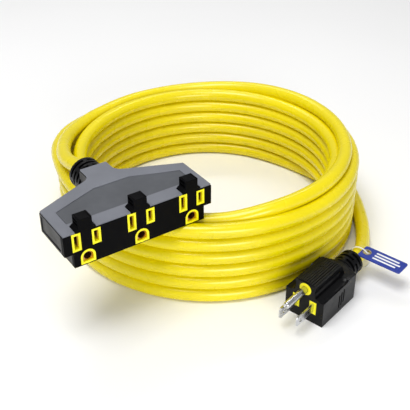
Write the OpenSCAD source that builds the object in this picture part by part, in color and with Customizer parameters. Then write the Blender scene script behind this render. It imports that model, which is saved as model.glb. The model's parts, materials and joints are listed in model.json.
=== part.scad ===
// Coiled three-conductor extension cord: a three-outlet tap on one end, a
// grounded plug on the other, and a marker tag tied round the cord.
// The plug lies on the ground with its ground pin up. The tap lies on the coil.

/* [Cord] */
// Outer diameter of the round jacket
cord_d = 10.2; // [9:0.1:12]
// Coil's inner column, radius to the middle of the cord
coil_r_in = 95.5; // [80:0.5:110]
// Distance between the middles of the coil's two columns
coil_gap = 11.7; // [10.2:0.1:14]
// Rows of cord in each column
coil_rows = 6; // [3:1:8]
// Insulated wire diameter
wire_d = 2.8; // [2:0.1:3.2]

/* [Tap] */
// Width of the tap across its face
tap_w = 101; // [94:0.5:130]
// Width of the lower, stepped-in part
tap_base_w = 90; // [84:0.5:120]
// Height of the tap without its tabs
tap_h = 24.4; // [23:0.1:32]
// Height of the lower, stepped-in part
tap_base_h = 9.8; // [9:0.1:11]
// Depth of the tap's two ends
tap_end_d = 32; // [28:0.5:40]
// Depth from the face to the end of the neck
tap_d = 62; // [58:0.5:80]
// Width of the neck
neck_w = 19.4; // [17:0.1:26]
// Wall of the covers
tap_wall = 2.2; // [1.8:0.1:3]
// Floor of the lower cover
tap_floor = 1.6; // [1.2:0.1:2]
// Thickness of the grey plate on top
cap_t = 1.2; // [0.9:0.1:1.4]
// Thickness of the face
face_t = 3; // [2:0.1:4]
// Depth of the recessed panel in the top
panel_deep = 0.8; // [0.6:0.1:0.8]
// Distance between neighbouring outlets
outlet_pitch = 36; // [33:0.5:44]
// Width of a tab's top
tab_w = 8.8; // [6:0.1:12]
// Depth of a tab, front to back
tab_d = 7.6; // [6:0.1:9]
// Height of a tab over the top cover
tab_h = 7.4; // [6.4:0.1:9]

/* [Contacts] */
// Distance between the two blades
blade_gap = 12.7; // [12.7:0.1:12.7]
// Distance from the blades' middle to the ground pin
ground_drop = 11.9; // [11.9:0.1:11.9]
// Blade thickness
blade_t = 1.5; // [1.4:0.05:1.6]
// Line blade width
line_w = 6.35; // [6.1:0.05:6.5]
// Neutral blade width
neutral_w = 7.9; // [7.7:0.05:8.1]
// Blade length in front of the plug
blade_l = 18.5; // [15.9:0.1:18.5]
// Ground pin diameter
pin_d = 4.75; // [4.7:0.01:4.8]
// Ground pin length in front of the plug
pin_l = 21.5; // [19:0.1:22]
// Slot width in an outlet
slot_w = 2.9; // [2.2:0.1:3.2]
// Rim of the coloured collars
rim = 1.4; // [1:0.1:1.8]
// Radial clearance of a ground barrel round its pin
barrel_clear = 0.12; // [0.06:0.01:0.3]
// Wall of a ground barrel
barrel_wall = 0.75; // [0.6:0.05:1]

/* [Plug] */
// Width of the plug's base
plug_w = 28.8; // [26:0.1:34]
// Height of the plug's base
plug_base_h = 20.2; // [19:0.1:22]
// Height of the plug to the top of its hump
plug_h = 29.8; // [28.5:0.1:34]
// Length of the plug's full-width part
plug_l = 38.8; // [36:0.1:46]
// Width of the hump
hump_w = 15.3; // [14:0.1:18]
// Length of the hump
hump_l = 30; // [28.5:0.1:34]
// Length of the tapered rear
plug_tail = 5.2; // [4:0.1:9]
// Ribs along the hump
hump_ribs = 8; // [4:1:10]

/* [Strain reliefs] */
// Outer diameter on the tap
tap_relief_d = 22; // [18:0.1:23]
// Outer diameter on the plug
plug_relief_d = 17.2; // [15:0.1:20]
// Length that stands out
relief_l = 14; // [12:0.5:24]
// Rings on each
relief_rings = 4; // [3:1:6]

/* [Tag] */
// Length of the tag
tag_l = 32; // [22:0.1:40]
// Width of the tag
tag_w = 13.2; // [12:0.1:20]
// Thickness of the tag
tag_t = 1; // [0.8:0.1:1.2]
// Thickness of the loop's line
loop_wire_d = 0.9; // [0.6:0.1:1.2]

/* [Layout] */
// Turn of the plug about the vertical
plug_turn = -75; // [-90:1:-60]

/* [Hidden] */
$fn = 64;
eps = 0.01;

// Colours
jacket_yellow = [0.93, 0.80, 0.05];
collar_yellow = [0.98, 0.88, 0.05];
cover_grey = [0.42, 0.43, 0.46];
panel_grey = [0.30, 0.31, 0.33];
moulded_black = [0.07, 0.07, 0.08];
brass = [0.72, 0.52, 0.25];
plated = [0.80, 0.81, 0.82];
steel = [0.62, 0.63, 0.65];
holder_white = [0.85, 0.85, 0.82];
tag_blue = [0.10, 0.27, 0.78];

// Coil
cord_r = cord_d / 2;
wire_r = wire_d / 2;
coil_r_out = coil_r_in + coil_gap;
coil_h = coil_rows * cord_d;
coil_at = [58, 79, 0];
web = 3;
top_z = coil_h - cord_r;
groove_z = top_z + sqrt(pow(cord_d, 2) - pow(coil_gap / 2, 2));

// Tap: X across, Y back from the face, Z up from the underside
tap_at = [-46, -2.5, coil_h];
slot_z = 17.2;
ground_z = slot_z - ground_drop;
outlet_x = [-outlet_pitch, 0, outlet_pitch];
neutral_slot_h = neutral_w + 1.3;
line_slot_h = line_w + 1.3;
ground_hole_r = 3.4;
ground_hole_low = 3.2;
insert_w = 25;
insert_t = 3;
neck_slope_y = 49.3;
carrier_deep = 6;
insert_back = face_t + insert_t;
room_step = tap_base_h + tap_floor;
room_top = tap_h - tap_wall;
cap_z = tap_h - cap_t;
panel_t = panel_deep - 0.35;
tab_foot = 2;
tab_low = 1.8;
tab_gap = 0.2;
end_edge = 1.6;
end_deep = 0.4;
leaf_y = insert_back + 1;
leaf_l = 12;
leaf_t = 0.6;
leaf_gap = blade_t + 0.5;
bar_t = 0.8;
bar_y = leaf_y + leaf_l + 1;
neutral_bar_z = [19.5, 21.5];
line_bar_z = [room_step + 0.2, slot_z - line_w / 2];
barrel_r = pin_d / 2 + barrel_clear;
barrel_end = leaf_y + 17;
ground_bar_z = [ground_z - 2.3, ground_z + 2.7];
relief_z = tap_h / 2;
relief_root_r = 7.2;
relief_root_l = 12;
jacket_in = 16;
screw_x = 24;
screw_y = 33;
screw_head_r = 2.8;
screw_r = 1.5;
screw_hold = 9;

// Plug: X to the right of its face, Y back from the face, Z up
plug_at = [38, -59, 0];
blade_z = 12.1;
pin_z = blade_z + ground_drop;
plug_cord_z = 12.5;
insert_deep = 14;
insert_skin = 1.5;
holder_l = 6;
tail_l = insert_deep + holder_l + 2;
pin_tail_r = pin_d / 2 - 0.4;
plug_back = plug_l + plug_tail;
plug_jacket_y = 34;
plug_exit_y = plug_back + relief_l;

// Tag: on the plug's axes
loop_y = plug_exit_y + 7.4;
loop_z = plug_cord_z;
loop_r = cord_r + 2.7;
loop_x = 2;
tag_z = loop_z + cord_r + 0.4 + tag_t / 2;
eyelet_r = 2.2;
eyelet_x = loop_x + sqrt(pow(loop_r, 2) - pow(tag_z - loop_z, 2));
tag_edge = 4;
eyelet_wall = 0.9;
eyelet_sleeve = 0.4;
eyelet_lip = 0.2;

function turned(p, a) = [p[0] * cos(a) - p[1] * sin(a), p[0] * sin(a) + p[1] * cos(a), p[2]];
function on_plug(p) = plug_at + turned(p, plug_turn);
function on_tap(p) = tap_at + p;

// A point on the coil, t degrees clockwise from its left side, r from its middle
function on_coil(t, r, z) =
    [coil_at[0] + r * cos(183 - t), coil_at[1] + r * sin(183 - t), z];

// 0 before a, 1 after b, and smooth between
function ramp(t, a, b) = let (u = min(max((t - a) / (b - a), 0), 1)) u * u * (3 - 2 * u);

// Middle line of the cord from the tap's relief down on to the coil's top row
tap_exit = on_tap([0, tap_d + relief_l, relief_z]);
tap_route = concat([tap_exit, on_tap([0, tap_d + relief_l + 4, relief_z])], [
    [-46.2, 87, 72.4], [-46, 98, 70], on_coil(22, coil_r_out - 0.8, top_z + 11),
    on_coil(33, coil_r_out - 0.8, top_z + 8), on_coil(44, coil_r_out - 0.6, top_z + 5),
    on_coil(56, coil_r_out - 0.4, top_z + 2), on_coil(69, coil_r_out, top_z)
]);

// Middle line of the turn that rises on to the groove between the two columns
top_turn_route = [
    for (t = [100 : 10 : 310])
        let (up = ramp(t, 100, 180), down = ramp(t, 272, 306))
        on_coil(t, coil_r_out - coil_gap / 2 * (up + down),
                top_z + (groove_z - top_z) * (up - down))
];

// Middle line of the cord from under the tap, round the coil's back and down to the plug.
// Each step: degrees, distance out from the outer column, share of the coil's height
plug_exit = on_plug([0, plug_exit_y, plug_cord_z]);
leaving = [
    [0, 0, 1], [15, 0.4, 1], [30, 3.2, 0.985], [37, 5.6, 0.965],
    [44, 7.8, 0.94], [56, 10, 0.9], [75, 10.7, 0.83],
    [95, 10.8, 0.75], [108, 10.8, 0.66], [123, 10.8, 0.53], [137, 10.8, 0.37], [151, 10.8, 0.23],
    [165, 10.8, 0.11], [178, 10.7, 0.03]
];
plug_route = concat(
    [for (p = leaving) on_coil(p[0], coil_r_out + p[1], cord_r + (top_z - cord_r) * p[2])],
    [[175, 63, 5.2], [168.6, 39, 5.2], [157.4, 17, 5.2], [146.8, 1, 5.2], [137.4, -11, 5.2],
     [131, -18, 5.4], [123, -26, 6.4], [115, -33, 8.2], [107, -38.6, 10.4]],
    [on_plug([0, plug_exit_y + 10, plug_cord_z]), plug_exit]
);

// Insulated wires inside the tap, from the jacket's end to the bars
tap_jacket_y = tap_d - jacket_in;
tap_neutral_route = [
    [-2.9, tap_jacket_y, relief_z + 1.4], [-2.9, tap_jacket_y - 2, relief_z + 1.4],
    [-3.4, tap_jacket_y - 6, relief_z + 2.2],
    [-6, 32, 18], [-8, 25, 20.1], [-8, bar_y + bar_t, 20.1]
];
tap_line_route = [
    [2.9, tap_jacket_y, relief_z + 1.4], [2.9, tap_jacket_y - 2, relief_z + 1.4],
    [3.4, tap_jacket_y - 6, relief_z + 1],
    [6, 32, 12.6], [8, 25, 12.3], [8, bar_y + bar_t, 12.3]
];
tap_ground_route = [
    [0, tap_jacket_y, relief_z - 2.4], [0, tap_jacket_y - 2, relief_z - 2.4], [0, 34, 7],
    [0, barrel_end + 4, 5.5], [0, barrel_end + bar_t, 5.5]
];

// Insulated wires inside the plug, from the blades to the jacket's end
plug_line_route = [
    [blade_gap / 2, tail_l, blade_z], [blade_gap / 2, tail_l + 3, blade_z],
    [4, 29, 13], [2.9, plug_jacket_y - 2, 13.9], [2.9, plug_jacket_y, 13.9]
];
plug_neutral_route = [for (p = plug_line_route) [-p[0], p[1], p[2]]];
plug_ground_route = [
    [0, tail_l, pin_z], [0, tail_l + 1.5, pin_z], [0, 26, 18.6], [0, 28, 13.5],
    [0, plug_jacket_y - 2, 9.9], [0, plug_jacket_y, 9.9]
];

// One tube of n sides along a list of points
function unit(v) = v / norm(v);
function along(p, i) = unit(p[min(i + 1, len(p) - 1)] - p[max(i - 1, 0)]);
function ring(c, t, r, n) =
    let (s = unit(cross(t, [0, 0, 1])), u = cross(s, t))
    [for (k = [0 : n - 1]) c + r * (cos(360 * k / n) * s + sin(360 * k / n) * u)];

module tube(p, r, n) {
    last = len(p) - 1;
    points = [for (i = [0 : last]) each ring(p[i], along(p, i), r, n)];
    sides = [
        for (i = [0 : last - 1], k = [0 : n - 1])
            let (a = i * n + k, b = i * n + (k + 1) % n)
            each [[a, b, b + n], [a, b + n, a + n]]
    ];
    caps = [[for (k = [n - 1 : -1 : 0]) k], [for (k = [0 : n - 1]) last * n + k]];
    polyhedron(points, concat(sides, caps));
}

// A cylinder whose axis runs along +Y from y
module rod(r, y, l) {
    translate([0, y, 0]) rotate([-90, 0, 0]) cylinder(r = r, h = l);
}

// A box given by its ranges along X, Y and Z
module block(x, y, z) {
    translate([x[0], y[0], z[0]]) cube([x[1] - x[0], y[1] - y[0], z[1] - z[0]]);
}

module on_tap_at() {
    translate(tap_at) children();
}

module on_plug_at() {
    translate(plug_at) rotate([0, 0, plug_turn]) children();
}

// Arch-shaped ground hole, drawn in X and Z about the ground pin's axis
module arch(grow) {
    circle(r = ground_hole_r + grow);
    translate([-ground_hole_r - grow, -ground_hole_low - grow])
        square([2 * (ground_hole_r + grow), ground_hole_low + grow]);
}

// The two slots and the ground hole of one outlet, larger by grow, from y on
module outlet_holes(y, l, grow) {
    h = [neutral_slot_h, line_slot_h];
    for (i = [0, 1]) {
        x = (i - 0.5) * blade_gap;
        block([x - slot_w / 2 - grow, x + slot_w / 2 + grow], [y, y + l],
              [slot_z - h[i] / 2 - grow, slot_z + h[i] / 2 + grow]);
    }
    translate([0, y + l, ground_z]) rotate([90, 0, 0]) linear_extrude(l) arch(grow);
}

// Tap's outline seen from above, w wide at the face
module tap_outline(w, neck, shrink) {
    offset(delta = -shrink) offset(r = -7) offset(delta = 7) polygon([
        [-w / 2, face_t], [w / 2, face_t], [w / 2, tap_end_d], [neck / 2, neck_slope_y],
        [neck / 2, tap_d], [-neck / 2, tap_d], [-neck / 2, neck_slope_y], [-w / 2, tap_end_d]
    ]);
}

module relief_hole() {
    translate([0, 0, relief_z]) rod(relief_root_r, tap_d - relief_root_l, relief_root_l + 1);
}

// Width of the tap's inside, narrow below the step and wide above it, over a depth y
module room_blocks(y) {
    block([-tap_base_w / 2 + tap_wall, tap_base_w / 2 - tap_wall], y, [tap_floor, room_step + eps]);
    block([-tap_w / 2 + tap_wall, tap_w / 2 - tap_wall], y, [room_step, room_top]);
}

module tap_room() {
    translate([0, 0, tap_floor]) linear_extrude(room_step - tap_floor + eps)
        tap_outline(tap_base_w, neck_w - 2, tap_wall);
    translate([0, 0, room_step]) linear_extrude(room_top - room_step)
        tap_outline(tap_w, neck_w, tap_wall);
    room_blocks([0, face_t + tap_wall + eps]);
}

module tap_cover() {
    color(moulded_black) on_tap_at() difference() {
        union() {
            difference() {
                translate([0, 0, tap_base_h])
                    linear_extrude(cap_z - tap_base_h) tap_outline(tap_w, neck_w, 0);
                tap_room();
            }
            for (s = [-1, 1])
                translate([s * screw_x, screw_y, tap_base_h])
                    cylinder(r = 3, h = room_top - tap_base_h + eps);
        }
        for (s = [-1, 1]) {
            translate([s * screw_x, screw_y, tap_base_h - 1])
                cylinder(r = screw_r, h = screw_hold);
            translate([s * tap_w / 2, 0, 0])
                block([-end_deep, end_deep], [face_t + end_edge, tap_end_d - end_edge],
                      [tap_base_h + end_edge, cap_z - end_edge]);
        }
        relief_hole();
    }
}

// Outline of the sunk panel, smaller by shrink
module panel_outline(shrink) {
    side = tap_w / 2 - 7.5;
    offset(delta = -shrink) polygon([
        [-side, 10.5], [side, 10.5], [side, tap_end_d - 7], [12.5, 36.5], [-12.5, 36.5],
        [-side, tap_end_d - 7]
    ]);
}

// Grey plate on top, which the tabs stand through
module tap_cap() {
    edge = 0.3;
    color(cover_grey) on_tap_at() difference() {
        translate([0, 0, cap_z]) linear_extrude(cap_t) union() {
            tap_outline(tap_w, neck_w, edge);
            translate([-tap_w / 2 + edge, edge]) square([tap_w - 2 * edge, face_t + 1]);
        }
        translate([0, 0, tap_h - panel_deep]) linear_extrude(panel_deep + 1) panel_outline(0);
        for (x = outlet_x) block(
            [x - tab_w / 2 - tab_foot - tab_gap, x + tab_w / 2 + tab_foot + tab_gap],
            [-1, tab_d + tab_gap], [cap_z - 1, tap_h + 1]);
    }
}

module tap_panel() {
    color(panel_grey) on_tap_at() translate([0, 0, tap_h - panel_deep])
        linear_extrude(panel_t) panel_outline(0.15);
}

module tap_base() {
    color(moulded_black) on_tap_at() difference() {
        union() {
            difference() {
                linear_extrude(tap_base_h) tap_outline(tap_base_w, neck_w - 2, 0);
                tap_room();
            }
            for (s = [-1, 1])
                translate([s * screw_x, screw_y, 0]) cylinder(r = 4.2, h = tap_base_h);
        }
        for (s = [-1, 1]) translate([s * screw_x, screw_y, -1]) {
            cylinder(r = screw_r, h = tap_base_h + 2);
            cylinder(r = screw_head_r, h = 3.2);
        }
        relief_hole();
    }
}

// One raised tab: a sloped foot, two ribs along its top and louvres in its flanks
module tab() {
    top = tap_h + tab_h;
    difference() {
        union() {
            block([-tab_w / 2, tab_w / 2], [0, tab_d], [cap_z, top]);
            translate([0, tab_d, 0]) rotate([90, 0, 0]) linear_extrude(tab_d) polygon([
                [-tab_w / 2 - tab_foot, cap_z], [tab_w / 2 + tab_foot, cap_z],
                [tab_w / 2 + tab_foot, tap_h + 0.3], [tab_w / 2, tap_h + tab_low],
                [-tab_w / 2, tap_h + tab_low], [-tab_w / 2 - tab_foot, tap_h + 0.3]
            ]);
            for (s = [-1, 1])
                translate([s * (tab_w / 2 - 0.9), 0, 0])
                    block([-0.25, 0.25], [0.6, tab_d - 0.4], [top - eps, top + 0.35]);
        }
        for (s = [-1, 1], z = [2.3, 4.7])
            translate([s * tab_w / 2, 0, 0])
                block([-1.3, 1.3], [1.4, tab_d - 1], [tap_h + z, tap_h + z + 1.6]);
    }
}

module tap_face() {
    color(moulded_black) on_tap_at() difference() {
        union() {
            block([-tap_w / 2, tap_w / 2], [0, face_t], [tap_base_h, cap_z]);
            block([-tap_base_w / 2, tap_base_w / 2], [0, face_t], [0, tap_base_h + eps]);
            for (x = outlet_x) translate([x, 0, 0]) {
                block([-tab_w / 2 - tab_foot, tab_w / 2 + tab_foot], [0, face_t],
                      [cap_z - 1, cap_z + eps]);
                tab();
            }
        }
        for (x = outlet_x) translate([x, 0, 0]) outlet_holes(-1, face_t + 2, rim);
    }
}

module outlet(x) {
    color(collar_yellow) on_tap_at() difference() {
        union() {
            translate([x, 0, 0]) outlet_holes(0, face_t, rim);
            intersection() {
                room_blocks([face_t, insert_back]);
                block([x - insert_w / 2, x + insert_w / 2], [0, insert_back], [0, tap_h]);
            }
        }
        translate([x, 0, 0]) outlet_holes(-1, insert_back + 2, 0);
    }
}

module outlet_left() {
    outlet(outlet_x[0]);
}

module outlet_middle() {
    outlet(outlet_x[1]);
}

module outlet_right() {
    outlet(outlet_x[2]);
}

module contact_carrier() {
    y = [insert_back, insert_back + carrier_deep];
    color(holder_white) on_tap_at() difference() {
        intersection() {
            room_blocks(y);
            block([-tap_w / 2, tap_w / 2], y, [tap_base_h, tap_h]);
        }
        for (x = outlet_x, s = [-1, 1]) translate([x + s * blade_gap / 2, 0, 0])
            block([-2.2, 2.2], [y[0] - 1, y[1] + 1], [line_bar_z[0] - 0.3, neutral_bar_z[1] + 0.2]);
    }
}

// Three pairs of leaves and the bar that joins them
module bus(side, bar_z, leaf_z) {
    color(brass) on_tap_at() {
        block([outlet_x[0] + side - 2, outlet_x[2] + side + 2], [bar_y, bar_y + bar_t], bar_z);
        for (x = outlet_x, s = [-1, 1]) translate([x + side + s * (leaf_gap + leaf_t) / 2, 0, 0]) {
            block([-leaf_t / 2, leaf_t / 2], [leaf_y, leaf_y + leaf_l], leaf_z);
            block([-leaf_t / 2, leaf_t / 2], [leaf_y + leaf_l - eps, bar_y + eps], bar_z);
        }
    }
}

module neutral_bus() {
    bus(-blade_gap / 2, neutral_bar_z, [slot_z - neutral_w / 2, neutral_bar_z[1]]);
}

module line_bus() {
    bus(blade_gap / 2, line_bar_z, [line_bar_z[0], slot_z + line_w / 2]);
}

module ground_bus() {
    color(brass) on_tap_at()
        block([outlet_x[0] - 3, outlet_x[2] + 3], [barrel_end, barrel_end + bar_t], ground_bar_z);
}

// A ground barrel, which the bar behind it joins to the others
module ground_barrel(x) {
    color(brass) on_tap_at() translate([x, 0, ground_z]) difference() {
        rod(barrel_r + barrel_wall, leaf_y, barrel_end - leaf_y);
        rod(barrel_r, leaf_y - 1, barrel_end - leaf_y + 2);
    }
}

module ground_barrel_left() {
    ground_barrel(outlet_x[0]);
}

module ground_barrel_middle() {
    ground_barrel(outlet_x[1]);
}

module ground_barrel_right() {
    ground_barrel(outlet_x[2]);
}

// Ringed sleeve: a thin core, rings and staggered bridges between them
module relief_sleeve(d, y) {
    ring_l = relief_l / (2 * relief_rings - 1);
    difference() {
        union() {
            rod(d / 2 - 2.2, y, relief_l);
            for (i = [0 : relief_rings - 1]) rod(d / 2, y + 2 * i * ring_l, ring_l);
            intersection() {
                rod(d / 2, y, relief_l);
                for (i = [0 : relief_rings - 2], k = [0 : 3])
                    rotate([0, 90 * k + 45 * (i % 2), 0])
                        block([-1.3, 1.3], [y + (2 * i + 1) * ring_l - eps,
                              y + (2 * i + 2) * ring_l + eps], [0, d / 2]);
            }
        }
        rod(cord_r, y - 1, relief_l + 2);
    }
}

module tap_relief() {
    color(moulded_black) on_tap_at() translate([0, 0, relief_z]) {
        relief_sleeve(tap_relief_d, tap_d);
        difference() {
            rod(relief_root_r, tap_d - relief_root_l, relief_root_l + eps);
            rod(cord_r, tap_d - relief_root_l - 1, relief_root_l + 2);
        }
    }
}

module tap_jacket_end() {
    color(jacket_yellow) on_tap_at() translate([0, 0, relief_z])
        rod(cord_r, tap_jacket_y, jacket_in + relief_l);
}

module tap_wire_neutral() {
    color(holder_white) on_tap_at() tube(tap_neutral_route, wire_r, 8);
}

module tap_wire_line() {
    color(moulded_black) on_tap_at() tube(tap_line_route, wire_r, 8);
}

module tap_wire_ground() {
    color([0.05, 0.40, 0.15]) on_tap_at() tube(tap_ground_route, wire_r, 8);
}

module tap_screw(s) {
    color(steel) on_tap_at() translate([s * screw_x, screw_y, 0]) difference() {
        union() {
            translate([0, 0, 0.4]) cylinder(r = screw_head_r, h = 1.8);
            translate([0, 0, 2]) cylinder(r = screw_r, h = 14);
        }
        for (a = [0, 90]) rotate([0, 0, a]) block([-1.8, 1.8], [-0.35, 0.35], [0, 1.4]);
    }
}

module tap_screw_left() {
    tap_screw(-1);
}

module tap_screw_right() {
    tap_screw(1);
}

// Yellow core of the plug and its collars, which come flush with the face
module plug_core() {
    for (s = [-1, 1])
        block([s * blade_gap / 2 - 2.6, s * blade_gap / 2 + 2.6], [0, insert_skin + 1],
              [blade_z - 4.8, blade_z + 4.8]);
    translate([0, 0, pin_z]) rod(pin_d / 2 + 2, 0, insert_skin + 1);
    block([-10.6, 10.6], [insert_skin, insert_deep], [6, 18.4]);
    block([-5, 5], [insert_skin, insert_deep], [6, 27.6]);
}

module plug_cavity() {
    y = insert_deep - eps;
    block([-9.4, 9.4], [y, plug_jacket_y], [6.2, 18.4]);
    block([-3.6, 3.6], [y, 27.4], [6.2, 26.8]);
    translate([0, 0, plug_cord_z]) rod(cord_r, plug_jacket_y - 1, plug_back);
}

module plug_body() {
    rib = (hump_w - 2) / hump_ribs;
    color(moulded_black) on_plug_at() difference() {
        union() {
            block([-plug_w / 2, plug_w / 2], [0, plug_l], [0, plug_base_h]);
            translate([-hump_w / 2, 0, 0]) rotate([90, 0, 90]) linear_extrude(hump_w) polygon([
                [0, 1], [0, plug_h - 1], [hump_l, plug_h - 1], [hump_l + 5, plug_base_h],
                [hump_l + 5, 1]
            ]);
            for (i = [0 : hump_ribs - 1]) {
                x = (i - (hump_ribs - 1) / 2) * rib;
                drop = 0.9 * pow(2 * x / hump_w, 2);
                block([x - rib * 0.36, x + rib * 0.36], [0.6, hump_l], [plug_h - 2, plug_h - drop]);
            }
            hull() {
                block([-plug_w / 2 + 1, plug_w / 2 - 1], [plug_l - 0.5, plug_l],
                      [0.6, plug_base_h]);
                translate([0, 0, plug_cord_z]) rotate([-90, 0, 0]) translate([0, 0, plug_back - 1])
                    cylinder(d = plug_relief_d - 1, h = 1, $fn = 32);
            }
        }
        for (s = [-1, 1]) translate([s * (hump_w / 2 + 4.9), 0, plug_base_h + 4]) {
            rod(5.5, -1, hump_l - 3);
            translate([0, hump_l - 4, 0]) sphere(r = 5.5);
        }
        for (s = [-1, 1], i = [-1 : 1])
            translate([s * plug_w / 2, hump_l - 8 + 2.6 * i, 0])
                block([-0.5, 0.5], [-0.7, 0.7], [4.6 + i, 15 + i]);
        plug_core();
        plug_cavity();
    }
}

// Tails of the blades and of the pin, over a range along Y
module tails(y) {
    for (s = [-1, 1]) {
        w = s > 0 ? line_w : neutral_w;
        block([s * blade_gap / 2 - blade_t / 2, s * blade_gap / 2 + blade_t / 2],
              y, [blade_z - w / 2, blade_z + w / 2]);
    }
    translate([0, 0, pin_z]) rod(pin_tail_r, y[0], y[1] - y[0]);
}

module plug_insert() {
    color(collar_yellow) on_plug_at() difference() {
        plug_core();
        tails([-1, insert_deep + 1]);
    }
}

module blade_holder() {
    y = [insert_deep, insert_deep + holder_l];
    color(holder_white) on_plug_at() difference() {
        union() {
            block([-9.2, 9.2], y, [6.4, 18.2]);
            block([-3.5, 3.5], y, [6.4, 26.6]);
        }
        tails([y[0] - 1, y[1] + 1]);
    }
}

// A flat blade with a bevelled tip and a round hole near it
module blade(s, w) {
    hole_y = -blade_l + 4.6;
    color(plated) on_plug_at() translate([s * blade_gap / 2, 0, blade_z]) difference() {
        hull() {
            block([-blade_t / 2, blade_t / 2], [-blade_l + 1.4, tail_l], [-w / 2, w / 2]);
            block([-blade_t / 4, blade_t / 4], [-blade_l, 0], [-w / 2 + 1, w / 2 - 1]);
        }
        translate([-blade_t, hole_y, 0]) rotate([0, 90, 0]) cylinder(d = 3.2, h = 2 * blade_t);
    }
}

module line_blade() {
    blade(1, line_w);
}

module neutral_blade() {
    blade(-1, neutral_w);
}

module ground_pin() {
    nose = pin_d * 0.3;
    color(plated) on_plug_at() translate([0, 0, pin_z]) {
        rod(pin_d / 2, -pin_l + nose, pin_l - nose);
        rod(pin_tail_r, -1, tail_l + 1);
        translate([0, -pin_l, 0]) rotate([-90, 0, 0])
            cylinder(r1 = pin_d / 2 - nose, r2 = pin_d / 2, h = nose);
    }
}

module plug_relief() {
    color(moulded_black) on_plug_at() translate([0, 0, plug_cord_z])
        relief_sleeve(plug_relief_d, plug_back);
}

module plug_jacket_end() {
    color(jacket_yellow) on_plug_at() translate([0, 0, plug_cord_z])
        rod(cord_r, plug_jacket_y, plug_exit_y - plug_jacket_y);
}

module plug_wire_line() {
    color(moulded_black) on_plug_at() tube(plug_line_route, wire_r, 8);
}

module plug_wire_neutral() {
    color(holder_white) on_plug_at() tube(plug_neutral_route, wire_r, 8);
}

module plug_wire_ground() {
    color([0.05, 0.40, 0.15]) on_plug_at() tube(plug_ground_route, wire_r, 8);
}

// Outer shape of the wound turns, one ring of scallops
module cord_coil() {
    color(jacket_yellow) translate(coil_at) rotate_extrude($fn = 96) {
        for (r = [coil_r_in, coil_r_out], k = [0 : coil_rows - 1])
            translate([r, cord_r + k * cord_d]) circle(r = cord_r);
        translate([coil_r_in - web / 2, cord_r])
            square([coil_gap + web, coil_h - cord_d]);
    }
}

module cord_tap_lead() {
    color(jacket_yellow) tube(tap_route, cord_r, 12);
}

module cord_top_turn() {
    color(jacket_yellow) tube(top_turn_route, cord_r, 12);
}

module cord_plug_lead() {
    color(jacket_yellow) tube(plug_route, cord_r, 12);
}

module tag_loop() {
    color([0.9, 0.92, 0.95]) on_plug_at() translate([loop_x, loop_y, loop_z])
        rotate([90, 0, 0]) rotate_extrude()
            translate([loop_r, 0]) circle(d = loop_wire_d, $fn = 24);
}

module on_tag_at() {
    on_plug_at() translate([eyelet_x, loop_y, tag_z]) children();
}

module tag_plate() {
    corner = 1.6;
    color(tag_blue) on_tag_at() difference() {
        translate([0, 0, -tag_t / 2]) linear_extrude(tag_t) {
            translate([-tag_edge, -tag_w / 2 + corner]) square([tag_l, tag_w - 2 * corner]);
            translate([-tag_edge + corner, -tag_w / 2]) square([tag_l - 2 * corner, tag_w]);
            for (x = [corner, tag_l - corner], s = [-1, 1])
                translate([x - tag_edge, s * (tag_w / 2 - corner)]) circle(r = corner);
        }
        translate([0, 0, -tag_t]) cylinder(r = eyelet_r + eyelet_sleeve, h = 2 * tag_t);
    }
}

module tag_eyelet() {
    low = -tag_t / 2 - eyelet_lip;
    color(brass) on_tag_at() rotate_extrude() {
        translate([eyelet_r, low]) square([eyelet_sleeve, tag_t + 2 * eyelet_lip]);
        for (z = [low, tag_t / 2]) translate([eyelet_r, z]) square([eyelet_wall, eyelet_lip]);
    }
}

module tag_stripes() {
    color([0.95, 0.96, 0.98]) on_tag_at() for (s = [-1, 0, 1])
        block([6, tag_l - tag_edge - 3 - 2 * abs(s)], [s * 3.1 - 0.7, s * 3.1 + 0.7],
              [tag_t / 2, tag_t / 2 + 0.2]);
}

tap_cover();
tap_cap();
tap_panel();
tap_base();
tap_face();
outlet_left();
outlet_middle();
outlet_right();
contact_carrier();
neutral_bus();
line_bus();
ground_bus();
ground_barrel_left();
ground_barrel_middle();
ground_barrel_right();
tap_relief();
tap_jacket_end();
tap_wire_neutral();
tap_wire_line();
tap_wire_ground();
tap_screw_left();
tap_screw_right();
plug_body();
plug_insert();
blade_holder();
line_blade();
neutral_blade();
ground_pin();
plug_relief();
plug_jacket_end();
plug_wire_line();
plug_wire_neutral();
plug_wire_ground();
cord_coil();
cord_tap_lead();
cord_top_turn();
cord_plug_lead();
tag_loop();
tag_plate();
tag_eyelet();
tag_stripes();
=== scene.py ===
import json
import math

import bmesh
import bpy
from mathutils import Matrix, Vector


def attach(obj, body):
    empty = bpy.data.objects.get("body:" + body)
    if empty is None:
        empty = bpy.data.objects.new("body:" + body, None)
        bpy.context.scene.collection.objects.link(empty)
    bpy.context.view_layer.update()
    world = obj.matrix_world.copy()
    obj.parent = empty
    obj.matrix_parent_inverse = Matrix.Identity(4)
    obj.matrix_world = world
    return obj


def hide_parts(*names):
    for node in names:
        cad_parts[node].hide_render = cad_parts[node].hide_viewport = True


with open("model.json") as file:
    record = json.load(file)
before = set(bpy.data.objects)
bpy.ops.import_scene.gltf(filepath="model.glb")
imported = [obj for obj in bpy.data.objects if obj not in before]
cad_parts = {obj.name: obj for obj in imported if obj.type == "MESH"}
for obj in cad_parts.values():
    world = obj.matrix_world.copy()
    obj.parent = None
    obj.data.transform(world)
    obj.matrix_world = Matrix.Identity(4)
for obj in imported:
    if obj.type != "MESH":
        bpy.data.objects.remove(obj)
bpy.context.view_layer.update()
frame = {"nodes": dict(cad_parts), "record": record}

NODES = frame["nodes"]
BODY_OF = {
    node: body
    for body, nodes in frame["record"]["behaviour"]["bodies"].items()
    for node in nodes
}
SLOT_OF = {part["node"]: part["material_slot"] for part in frame["record"]["subparts"]}
MM = 0.001
UP = Vector((0, 0, 1))


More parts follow.
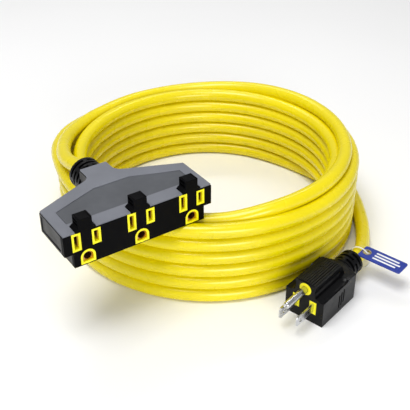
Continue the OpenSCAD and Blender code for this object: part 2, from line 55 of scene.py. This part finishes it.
# ---------------------------------------------------------------- camera

CAMERA_AT = Vector((-0.2223, -0.3289, 0.3316))
CAMERA_AHEAD = Vector((0.4837, 0.7038, -0.5195))
CAMERA_LENS = 66.0
CAMERA_SENSOR = 36
CAMERA_SHIFT = (-0.0073, -0.0668)
CAMERA_NEAR = 0.01


def add_camera():
    data = bpy.data.cameras.new("camera")
    data.sensor_width = CAMERA_SENSOR
    data.lens = CAMERA_LENS
    data.shift_x, data.shift_y = CAMERA_SHIFT
    data.clip_start = CAMERA_NEAR
    camera = bpy.data.objects.new("camera", data)
    camera.location = CAMERA_AT
    camera.rotation_mode = "QUATERNION"
    camera.rotation_quaternion = CAMERA_AHEAD.to_track_quat("-Z", "Y")
    bpy.context.scene.collection.objects.link(camera)
    bpy.context.scene.camera = camera


add_camera()


# ---------------------------------------------------------------- the cord's route
# In millimetres until cord_line, as in the CAD.

CORD_D = 10.2
COIL_AT = (58, 79)
COIL_INNER, COIL_OUTER = 95.5, 107.2
COIL_ROWS = 6
COIL_LEFT = 183
TOP_Z = CORD_D * (COIL_ROWS - 0.5)
GROOVE_Z = TOP_Z + math.sqrt(CORD_D ** 2 - ((COIL_OUTER - COIL_INNER) / 2) ** 2)
TAP_EXIT = (-46, 73.5, 73.4)
PLUG_AT = (38, -59, 0)
PLUG_TURN = math.radians(-75)
PLUG_CORD_Z = 12.5
PLUG_EXIT_Y = 58
PLUG_STRAIGHT = 10
ROUTE_STEP = 5

# The winding, in degrees run clockwise from the coil's left side
WIND_FROM, WIND_TO, WIND_STEP = 90, 4320, 15
TURN = 360
LIFT = (100, 180)
SETTLE = (272, 306)
GO_OUT = (2328, 2368)
FIRST_DROP = (616, 656)
FIRST_RISE = (2620, 2700)

# From the tap's exit to the coil
FROM_TAP = [(-46, 77.5, 73.4), (-46.2, 87, 72.4), (-46, 98, 70)]
# Then on to it: degrees, distance in from the outer column, height over the top row
ON_TO_COIL = [(22, 0.8, 11), (33, 0.8, 8), (44, 0.6, 5), (56, 0.4, 2), (69, 0, 0)]

# The way down to the plug: degrees, distance out from the outer column, share of the coil's height
LEAVING = [
    (0, 0, 1), (15, 0.4, 1), (30, 3.2, 0.985), (37, 5.6, 0.965),
    (44, 7.8, 0.94), (56, 10, 0.9), (75, 10.7, 0.83),
    (95, 10.8, 0.75), (108, 10.8, 0.66), (123, 10.8, 0.53), (137, 10.8, 0.37), (151, 10.8, 0.23),
    (165, 10.8, 0.11), (178, 10.7, 0.03),
]
TO_PLUG = [
    (175, 63, 5.2), (168.6, 39, 5.2), (157.4, 17, 5.2), (146.8, 1, 5.2), (137.4, -11, 5.2),
    (131, -18, 5.4), (123, -26, 6.4), (115, -33, 8.2), (107, -38.6, 10.4),
]


def on_plug(x, y, z):
    """A point given on the plug's own axes, in the row frame."""
    c, s = math.cos(PLUG_TURN), math.sin(PLUG_TURN)
    return (PLUG_AT[0] + x * c - y * s, PLUG_AT[1] + x * s + y * c, PLUG_AT[2] + z)


def ramp(t, span):
    """0 before the span, 1 after it, and smooth between."""
    u = min(max((t - span[0]) / (span[1] - span[0]), 0), 1)
    return u * u * (3 - 2 * u)


def on_coil(t, radius, z):
    """A point t degrees clockwise from the coil's left side."""
    angle = math.radians(COIL_LEFT - t)
    return (COIL_AT[0] + radius * math.cos(angle), COIL_AT[1] + radius * math.sin(angle), z)


def rows_passed(t, first):
    """How many rows the winding has changed by, once in each turn from the first span on."""
    spans = [(first[0] + TURN * k, first[1] + TURN * k) for k in range(COIL_ROWS - 1)]
    return sum(ramp(t, span) for span in spans)


def wound(t):
    """The cord's middle after t degrees of winding."""
    lift, settle = ramp(t, LIFT), ramp(t, SETTLE)
    outward = 1 - (lift + settle) / 2 + ramp(t, GO_OUT)
    row = COIL_ROWS - 0.5 - rows_passed(t, FIRST_DROP) + rows_passed(t, FIRST_RISE)
    z = CORD_D * row + (GROOVE_Z - TOP_Z) * (lift - settle)
    return on_coil(t, COIL_INNER + (COIL_OUTER - COIL_INNER) * outward, z)


def curve_between(p, spacing):
    """Centripetal Catmull-Rom points through p, about spacing apart."""
    ends = [2 * p[0] - p[1]] + p + [2 * p[-1] - p[-2]]
    line = []
    for a, b, c, d in zip(ends, ends[1:], ends[2:], ends[3:]):
        t1 = (b - a).length ** 0.5
        t2 = t1 + (c - b).length ** 0.5
        t3 = t2 + (d - c).length ** 0.5
        steps = max(1, round((c - b).length / spacing))
        for i in range(steps):
            t = t1 + (t2 - t1) * i / steps
            ab = a + (b - a) * (t / t1)
            bc = b + (c - b) * ((t - t1) / (t2 - t1))
            cd = c + (d - c) * ((t - t2) / (t3 - t2))
            abc = ab + (bc - ab) * (t / t2)
            bcd = bc + (cd - bc) * ((t - t1) / (t3 - t1))
            line.append(abc + (bcd - abc) * ((t - t1) / (t2 - t1)))
    return line + [p[-1]]


def down_from_tap():
    """From the tap's exit down on to the coil's top row."""
    landing = [on_coil(t, COIL_OUTER - inward, TOP_Z + up) for t, inward, up in ON_TO_COIL]
    return [TAP_EXIT] + FROM_TAP + landing


def down_to_plug():
    """From the coil's top row down its outside and along the floor to the plug."""
    low = CORD_D / 2
    beside = [
        on_coil(t, COIL_OUTER + out, low + (TOP_Z - low) * share)
        for t, out, share in LEAVING
    ]
    end = [on_plug(0, PLUG_EXIT_Y + ahead, PLUG_CORD_Z) for ahead in (PLUG_STRAIGHT, 0)]
    return beside + TO_PLUG + end


def cord_line():
    """The whole cord's middle line, in metres."""
    turns = [wound(t) for t in range(WIND_FROM, WIND_TO, WIND_STEP)]
    points = down_from_tap() + turns + down_to_plug()
    return curve_between([MM * Vector(p) for p in points], ROUTE_STEP * MM)


# ---------------------------------------------------------------- materials

COAT_ROUGH = 0.12
# A noise's values lie mostly between these
NOISE_LOW, NOISE_HIGH = 0.3, 0.7


def new_material(name, base, rough, metallic=0.0, coat=0.0, specular=0.5):
    """A material, and what its patterns are joined to."""
    m = bpy.data.materials.new(name)
    m.use_nodes = True
    shader = m.node_tree.nodes["Principled BSDF"]
    shader.inputs["Base Color"].default_value = (*base, 1)
    shader.inputs["Roughness"].default_value = rough
    shader.inputs["Metallic"].default_value = metallic
    shader.inputs["Coat Weight"].default_value = coat
    shader.inputs["Coat Roughness"].default_value = COAT_ROUGH
    shader.inputs["Specular IOR Level"].default_value = specular
    return m, shader


def add(m, kind, **values):
    """A node, with the sockets named in values set or joined."""
    node = m.node_tree.nodes.new(kind)
    for key, value in values.items():
        socket = node.inputs[key.replace("_", " ")]
        if isinstance(value, bpy.types.NodeSocket):
            m.node_tree.links.new(value, socket)
        else:
            socket.default_value = value
    return node


def coordinates(m, stretch=(1, 1, 1), turn=0.0):
    """Position on the object in the row frame, scaled by stretch after a turn about Z."""
    where = add(m, "ShaderNodeTexCoord").outputs["Object"]
    turned = add(m, "ShaderNodeMapping", Vector=where, Rotation=(0, 0, turn))
    scaled = add(m, "ShaderNodeMapping", Vector=turned.outputs["Vector"], Scale=stretch)
    return scaled.outputs["Vector"]


def noise(m, where, scale, detail):
    """A noise with scale patches to the metre, and detail finer layers in it."""
    node = add(m, "ShaderNodeTexNoise", Vector=where, Scale=scale, Detail=detail)
    return node.outputs["Fac"]


def spread(m, value, low, high, start=NOISE_LOW, end=NOISE_HIGH):
    """value run from start to end, as low to high."""
    node = add(m, "ShaderNodeMapRange", Value=value)
    node.inputs["From Min"].default_value = start
    node.inputs["From Max"].default_value = end
    node.inputs["To Min"].default_value = low
    node.inputs["To Max"].default_value = high
    return node.outputs["Result"]


def tones(m, value, dark, light):
    """Colours from dark to light as a noise rises."""
    node = add(m, "ShaderNodeValToRGB", Fac=value)
    first, last = node.color_ramp.elements
    first.position, last.position = NOISE_LOW, NOISE_HIGH
    first.color, last.color = (*dark, 1), (*light, 1)
    return node.outputs["Color"]


def bump(m, height, depth):
    """A bumpy surface, depth metres deep."""
    return add(m, "ShaderNodeBump", Height=height, Distance=depth).outputs["Normal"]


def join(m, output, shader, socket):
    m.node_tree.links.new(output, shader.inputs[socket])


def shade(colour, factor):
    return tuple(min(1.0, c * factor) for c in colour)


def moulded(name, base, rough, grain, depth, specular=0.5, coat=0.0):
    """Moulded plastic: mottled colour, a fine spark-eroded grain and uneven polish."""
    m, shader = new_material(name, base, rough, coat=coat, specular=specular)
    where = coordinates(m)
    patches = noise(m, where, scale=45, detail=4)
    fine = noise(m, where, scale=grain, detail=2)
    polish = noise(m, where, scale=160, detail=5)
    join(m, tones(m, patches, shade(base, 0.93), shade(base, 1.06)), shader, "Base Color")
    join(m, spread(m, polish, rough - 0.05, rough + 0.07), shader, "Roughness")
    join(m, bump(m, fine, depth), shader, "Normal")
    return m


def jacket(name, base, rough):
    """Extruded vinyl: faint patches and specks, a slightly wavy skin and uneven polish."""
    m, shader = new_material(name, base, rough, specular=0.55)
    where = coordinates(m)
    patches = noise(m, where, scale=22, detail=4)
    colour = tones(m, patches, shade(base, 0.94), shade(base, 1.04))
    specks = spread(m, noise(m, where, scale=500, detail=3), 0.0, 0.03, start=0.60, end=0.78)
    speck_colour = (*shade(base, 0.5), 1)
    mixed = add(m, "ShaderNodeMixRGB", Fac=specks, Color1=colour, Color2=speck_colour)
    join(m, mixed.outputs["Color"], shader, "Base Color")
    polish = noise(m, where, scale=60, detail=2)
    join(m, spread(m, polish, rough - 0.02, rough + 0.04), shader, "Roughness")
    waves = noise(m, where, scale=60, detail=1)
    join(m, bump(m, waves, 0.00003), shader, "Normal")
    return m


def metal(name, base, rough, turn=0.0, stretch=(1, 1, 1)):
    """Plated or brushed metal: fine streaks in its polish and faint tarnish."""
    m, shader = new_material(name, base, rough, metallic=1.0)
    where = coordinates(m, stretch, turn)
    streaks = noise(m, where, scale=900, detail=4)
    tarnish = noise(m, coordinates(m), scale=110, detail=4)
    join(m, tones(m, tarnish, shade(base, 0.82), base), shader, "Base Color")
    join(m, spread(m, streaks, max(rough - 0.06, 0.03), rough + 0.08), shader, "Roughness")
    join(m, bump(m, streaks, 0.00001), shader, "Normal")
    return m


MOULDED = {
    "grey_cover": dict(base=(0.150, 0.158, 0.184), rough=0.50, grain=1700, depth=0.00006),
    "grey_panel": dict(base=(0.068, 0.073, 0.084), rough=0.55, grain=1900, depth=0.00005),
    "black_face": dict(
        base=(0.0015, 0.0015, 0.002), rough=0.50, grain=1500, depth=0.00002, specular=0.05),
    "black_body": dict(
        base=(0.0025, 0.0025, 0.003), rough=0.32, grain=1500, depth=0.000015, specular=0.16),
    "yellow_insert": dict(base=(0.98, 0.88, 0.0), rough=0.38, grain=1300, depth=0.00002),
    "white_holder": dict(base=(0.72, 0.71, 0.66), rough=0.55, grain=900, depth=0.00004),
    "white_wire": dict(base=(0.75, 0.75, 0.72), rough=0.4, grain=1200, depth=0.00002),
    "black_wire": dict(base=(0.015, 0.015, 0.016), rough=0.4, grain=1200, depth=0.00002),
    "green_wire": dict(base=(0.02, 0.24, 0.08), rough=0.4, grain=1200, depth=0.00002),
    "clear_line": dict(base=(0.78, 0.79, 0.80), rough=0.25, grain=800, depth=0.00001),
    "blue_tag": dict(base=(0.004, 0.028, 0.30), rough=0.34, grain=700, depth=0.00001, coat=0.2),
    "white_print": dict(base=(0.84, 0.86, 0.90), rough=0.5, grain=700, depth=0.00001),
}
METALS = {
    "brass_contact": dict(base=(0.62, 0.33, 0.12), rough=0.34),
    "steel_screw": dict(base=(0.50, 0.51, 0.54), rough=0.32),
    "plated_blade": dict(
        base=(0.66, 0.67, 0.69), rough=0.24, turn=-PLUG_TURN, stretch=(1, 0.05, 1)),
    "brass_eyelet": dict(base=(0.55, 0.46, 0.28), rough=0.28),
}


def make_materials():
    made = {name: moulded(name, **look) for name, look in MOULDED.items()}
    made.update({name: metal(name, **look) for name, look in METALS.items()})
    made["yellow_jacket"] = jacket("yellow_jacket", base=(0.83, 0.69, 0.0), rough=0.26)
    return made


MATERIALS = make_materials()


def finish_with(piece, slot):
    piece.data.materials.clear()
    piece.data.materials.append(MATERIALS[slot])


# ---------------------------------------------------------------- making pieces

# Corners this near are joined, and faces this flat are made one
JOIN_WITHIN = 2e-6
FLAT_WITHIN = math.radians(0.8)
SHARP = math.radians(28)
BEVEL_SEGMENTS = 3


def add_piece(name, mesh, slot, body, replaced):
    piece = bpy.data.objects.new(name, mesh)
    bpy.context.scene.collection.objects.link(piece)
    finish_with(piece, slot)
    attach(piece, body)
    if replaced:
        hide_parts(*replaced)
    return piece


def mesh_from(bm, name):
    mesh = bpy.data.meshes.new(name)
    bm.to_mesh(mesh)
    bm.free()
    return mesh


def circle(radius, sides):
    """Points round a circle, as pairs."""
    angles = [2 * math.pi * k / sides for k in range(sides)]
    return [(radius * math.cos(a), radius * math.sin(a)) for a in angles]


def skin(bm, near, far, smooth=False):
    """Faces between two rings of corners, one of which can be a single point."""
    for k in range(len(near)):
        j = (k + 1) % len(near)
        corners = list(dict.fromkeys((near[k], near[j], far[j], far[k])))
        bm.faces.new(corners).smooth = smooth


def cleaned(node):
    """A copy of a CAD node's mesh with its corners joined and its flat faces whole."""
    bm = bmesh.new()
    bm.from_mesh(NODES[node].data)
    bmesh.ops.remove_doubles(bm, verts=bm.verts, dist=JOIN_WITHIN)
    bmesh.ops.dissolve_limit(
        bm, angle_limit=FLAT_WITHIN, use_dissolve_boundaries=False,
        verts=bm.verts, edges=bm.edges)
    for face in bm.faces:
        face.smooth = True
    mesh = mesh_from(bm, node + "_shape")
    mesh.set_sharp_from_angle(angle=SHARP)
    return mesh


def softened(node, width):
    """A CAD node with its edges rounded."""
    piece = add_piece(node + "_moulded", cleaned(node), SLOT_OF[node], BODY_OF[node], [node])
    bevel = piece.modifiers.new("edges", "BEVEL")
    bevel.width = width * MM
    bevel.segments = BEVEL_SEGMENTS
    bevel.limit_method = "ANGLE"
    bevel.angle_limit = SHARP
    bevel.harden_normals = True
    return piece


# ---------------------------------------------------------------- the cord

CORD_SIDES = 24
CORD_NODES = ["cord_coil", "cord_tap_lead", "cord_top_turn", "cord_plug_lead"]
# The three cores show as faint ridges that turn once in each lay, in metres
CORES = 3
RIDGE = 0.00005
LAY = 0.07


def tube_mesh(name, line, radius):
    """A closed tube along a line, ridged over the cores inside it."""
    bm = bmesh.new()
    rings = []
    run = 0.0
    last = len(line) - 1
    for i, middle in enumerate(line):
        ahead = (line[min(i + 1, last)] - line[max(i - 1, 0)]).normalized()
        side = ahead.cross(UP).normalized()
        lift = side.cross(ahead)
        run += (middle - line[max(i - 1, 0)]).length
        ring = []
        for k in range(CORD_SIDES):
            a = 2 * math.pi * k / CORD_SIDES
            r = radius + RIDGE * math.cos(CORES * a - 2 * math.pi * run / LAY)
            ring.append(bm.verts.new(middle + r * (math.cos(a) * side + math.sin(a) * lift)))
        rings.append(ring)
    for near, far in zip(rings, rings[1:]):
        skin(bm, near, far, smooth=True)
    bm.faces.new(rings[0][::-1])
    bm.faces.new(rings[-1])
    bmesh.ops.recalc_face_normals(bm, faces=bm.faces)
    return mesh_from(bm, name)


def add_cord():
    line = cord_line()
    mesh = tube_mesh("cord_shape", line, CORD_D / 2 * MM)
    return add_piece("cord", mesh, "yellow_jacket", "cord_and_ends", CORD_NODES), line


cord, line = add_cord()


# ---------------------------------------------------------------- mouldings, blades and pin

# How far each piece's edges are rounded
EDGES = {
    "tap_cover": 0.6, "tap_cap": 0.35, "tap_panel": 0.15, "tap_base": 0.5, "tap_face": 0.45,
    "outlet_left": 0.2, "outlet_middle": 0.2, "outlet_right": 0.2, "tap_relief": 0.25,
    "plug_body": 0.22, "plug_insert": 0.2, "plug_relief": 0.25,
    "line_blade": 0.12, "neutral_blade": 0.12, "tag_plate": 0.2,
}

# The ground pin's outline: distance back from the plug's face, and radius
PIN_OUTLINE = [
    (-20.9, 0), (-20.95, 0.5), (-21.25, 0.75), (-21.5, 0.95), (-21.5, 1.3), (-21.38, 1.7),
    (-21.1, 2.0), (-20.7, 2.2), (-20.1, 2.34), (-19.4, 2.375), (-10, 2.375), (-0.2, 2.375),
    (0, 2.2), (0, 1.975), (21.8, 1.975), (22, 1.8), (22, 0),
]
PIN_Z = 24.0
PIN_SIDES = 48
PIN_SHARP = math.radians(60)


def add_pin():
    """A turned pin with a rounded nose and a shallow dimple in its end."""
    bm = bmesh.new()
    rings = []
    for y, r in PIN_OUTLINE:
        if r == 0:
            rings.append([bm.verts.new(MM * Vector(on_plug(0, y, PIN_Z)))] * PIN_SIDES)
        else:
            spots = [on_plug(x, y, PIN_Z + z) for x, z in circle(r, PIN_SIDES)]
            rings.append([bm.verts.new(MM * Vector(spot)) for spot in spots])
    for near, far in zip(rings, rings[1:]):
        skin(bm, near, far, smooth=True)
    bmesh.ops.recalc_face_normals(bm, faces=bm.faces)
    mesh = mesh_from(bm, "ground_pin_shape")
    mesh.set_sharp_from_angle(angle=PIN_SHARP)
    return add_piece("ground_pin_turned", mesh, "plated_blade", "cord_and_ends", ["ground_pin"])


shaped = {node: softened(node, width) for node, width in EDGES.items()}
shaped["ground_pin"] = add_pin()

for node, piece in NODES.items():
    if node not in shaped and not piece.hide_render:
        finish_with(piece, SLOT_OF[node])


# ---------------------------------------------------------------- contacts seen in the outlets

TAP_AT = (-46, -2.5, 61.2)
OUTLETS = (("left", -36), ("middle", 0), ("right", 36))
SLOT_Z, GROUND_Z = 17.2, 5.3
BLADE_GAP = 12.7
SLOT_W = 2.9
NEUTRAL_SLOT_H, LINE_SLOT_H = 9.2, 7.65

# Depths behind the tap's face
LIP_FRONT, LIP_BACK = 1.3, 6.9
LEAF_FRONT = LIP_FRONT + 0.4
# The ring in the ground hole: its round bore, and the arch outside it
LIP_BORE, LIP_WIDE, LIP_LOW = 2.5, 3.35, 3.15
LIP_CHAMFER = 0.3
LIP_SIDES = 48
# The leaves in the slots: thickness, shortfall at each end, share of the slot's width
LEAF_T = 0.35
LEAF_SHORT = 0.3
LEAF_SPREAD = 0.93
TINY = 1e-6


def add_strip(bm, outline, y0, y1, thick, shift):
    """A bent sheet: an open outline in X and Z, run back along Y and thickened inwards."""
    outer = [Vector((x, 0, z)) for x, z in outline]
    last = len(outer) - 1
    inner = []
    for i, p in enumerate(outer):
        ahead = (outer[min(i + 1, last)] - outer[max(i - 1, 0)]).normalized()
        inner.append(p + thick * Vector((ahead.z, 0, -ahead.x)))
    loop = outer + inner[::-1]
    front = [bm.verts.new(MM * (p + shift + Vector((0, y0, 0)))) for p in loop]
    back = [bm.verts.new(MM * (p + shift + Vector((0, y1, 0)))) for p in loop]
    skin(bm, front, back)
    count = len(loop)
    for k in range(last):
        bm.faces.new((front[k], front[k + 1], front[count - 2 - k], front[count - 1 - k]))
        bm.faces.new((back[k + 1], back[k], back[count - 1 - k], back[count - 2 - k]))


def to_hole_wall(c, s):
    """How far the ground hole's wall is, toward cosine c and sine s."""
    if s >= 0:
        return LIP_WIDE
    return min(LIP_WIDE / max(abs(c), TINY), LIP_LOW / max(abs(s), TINY))


def add_ground_lip(bm, at):
    """A thick ring that fills the arched hole outside and is round inside."""
    loops = []
    rims = ((LIP_FRONT, True), (LIP_FRONT - LIP_CHAMFER, False), (LIP_BACK, False), (LIP_BACK, True))
    for y, outside in rims:
        loop = []
        for c, s in circle(1, LIP_SIDES):
            r = to_hole_wall(c, s) if outside else LIP_BORE
            loop.append(bm.verts.new(MM * (at + Vector((r * c, y, r * s)))))
        loops.append(loop)
    for near, far in zip(loops, loops[1:] + loops[:1]):
        skin(bm, near, far)


def add_leaves(bm, slot_at, slot_h):
    """The two leaves of a slot's contact, one on each flank."""
    top = slot_h / 2 - LEAF_SHORT
    for flank in (-1, 1):
        wall = flank * SLOT_W / 2 * LEAF_SPREAD
        outline = [(wall, flank * top), (wall, 0), (wall, -flank * top)]
        add_strip(bm, outline, LEAF_FRONT, LIP_BACK, LEAF_T, slot_at)


def add_contact_lips(side, x):
    """The ends of the sprung contacts, seen inside an outlet's three holes."""
    bm = bmesh.new()
    tap_at = Vector(TAP_AT)
    add_ground_lip(bm, tap_at + Vector((x, 0, GROUND_Z)))
    for s, slot_h in ((-1, NEUTRAL_SLOT_H), (1, LINE_SLOT_H)):
        add_leaves(bm, tap_at + Vector((x + s * BLADE_GAP / 2, 0, SLOT_Z)), slot_h)
    bmesh.ops.recalc_face_normals(bm, faces=bm.faces)
    name = "contact_lips_" + side
    add_piece(name, mesh_from(bm, name), "brass_contact", "cord_and_ends", [])


for side, x in OUTLETS:
    add_contact_lips(side, x)


# ---------------------------------------------------------------- floor and light

FLOOR_HALF = 6.0
FLOOR_DARK, FLOOR_LIGHT = (0.93, 0.93, 0.93), (0.95, 0.95, 0.95)
WORLD_STRENGTH = 0.38
LIGHTS_AIM = (0.04, 0.06, 0.03)
# Where each light is, its two sides, and its power
LIGHTS = {
    "key": ((-0.35, -0.05, 1.3), (0.7, 0.6), 11),
    "strip": ((0.35, 0.75, 1.0), (1.0, 0.12), 3),
    "fill": ((-0.4, -1.15, 0.42), (0.6, 0.35), 7),
}


def add_floor():
    m, shader = new_material("floor", (0.94, 0.94, 0.94), rough=0.75)
    tone = tones(m, noise(m, coordinates(m), scale=3, detail=2), FLOOR_DARK, FLOOR_LIGHT)
    join(m, tone, shader, "Base Color")
    mesh = bpy.data.meshes.new("floor")
    half = FLOOR_HALF
    corners = [(-half, -half, 0), (half, -half, 0), (half, half, 0), (-half, half, 0)]
    mesh.from_pydata(corners, [], [(0, 1, 2, 3)])
    mesh.materials.append(m)
    floor = bpy.data.objects.new("floor", mesh)
    bpy.context.scene.collection.objects.link(floor)


def add_softbox(name, at, size, power):
    data = bpy.data.lights.new(name, "AREA")
    data.shape = "RECTANGLE"
    data.size, data.size_y = size
    data.energy = power
    light = bpy.data.objects.new(name, data)
    light.location = at
    light.rotation_mode = "QUATERNION"
    light.rotation_quaternion = (Vector(LIGHTS_AIM) - Vector(at)).to_track_quat("-Z", "Y")
    bpy.context.scene.collection.objects.link(light)


def add_world():
    world = bpy.data.worlds.new("studio")
    world.use_nodes = True
    backdrop = world.node_tree.nodes["Background"]
    backdrop.inputs["Color"].default_value = (1, 1, 1, 1)
    backdrop.inputs["Strength"].default_value = WORLD_STRENGTH
    bpy.context.scene.world = world


add_floor()
add_world()
for name, (at, size, power) in LIGHTS.items():
    add_softbox(name, at, size, power)
bpy.context.scene.view_settings.view_transform = "Standard"
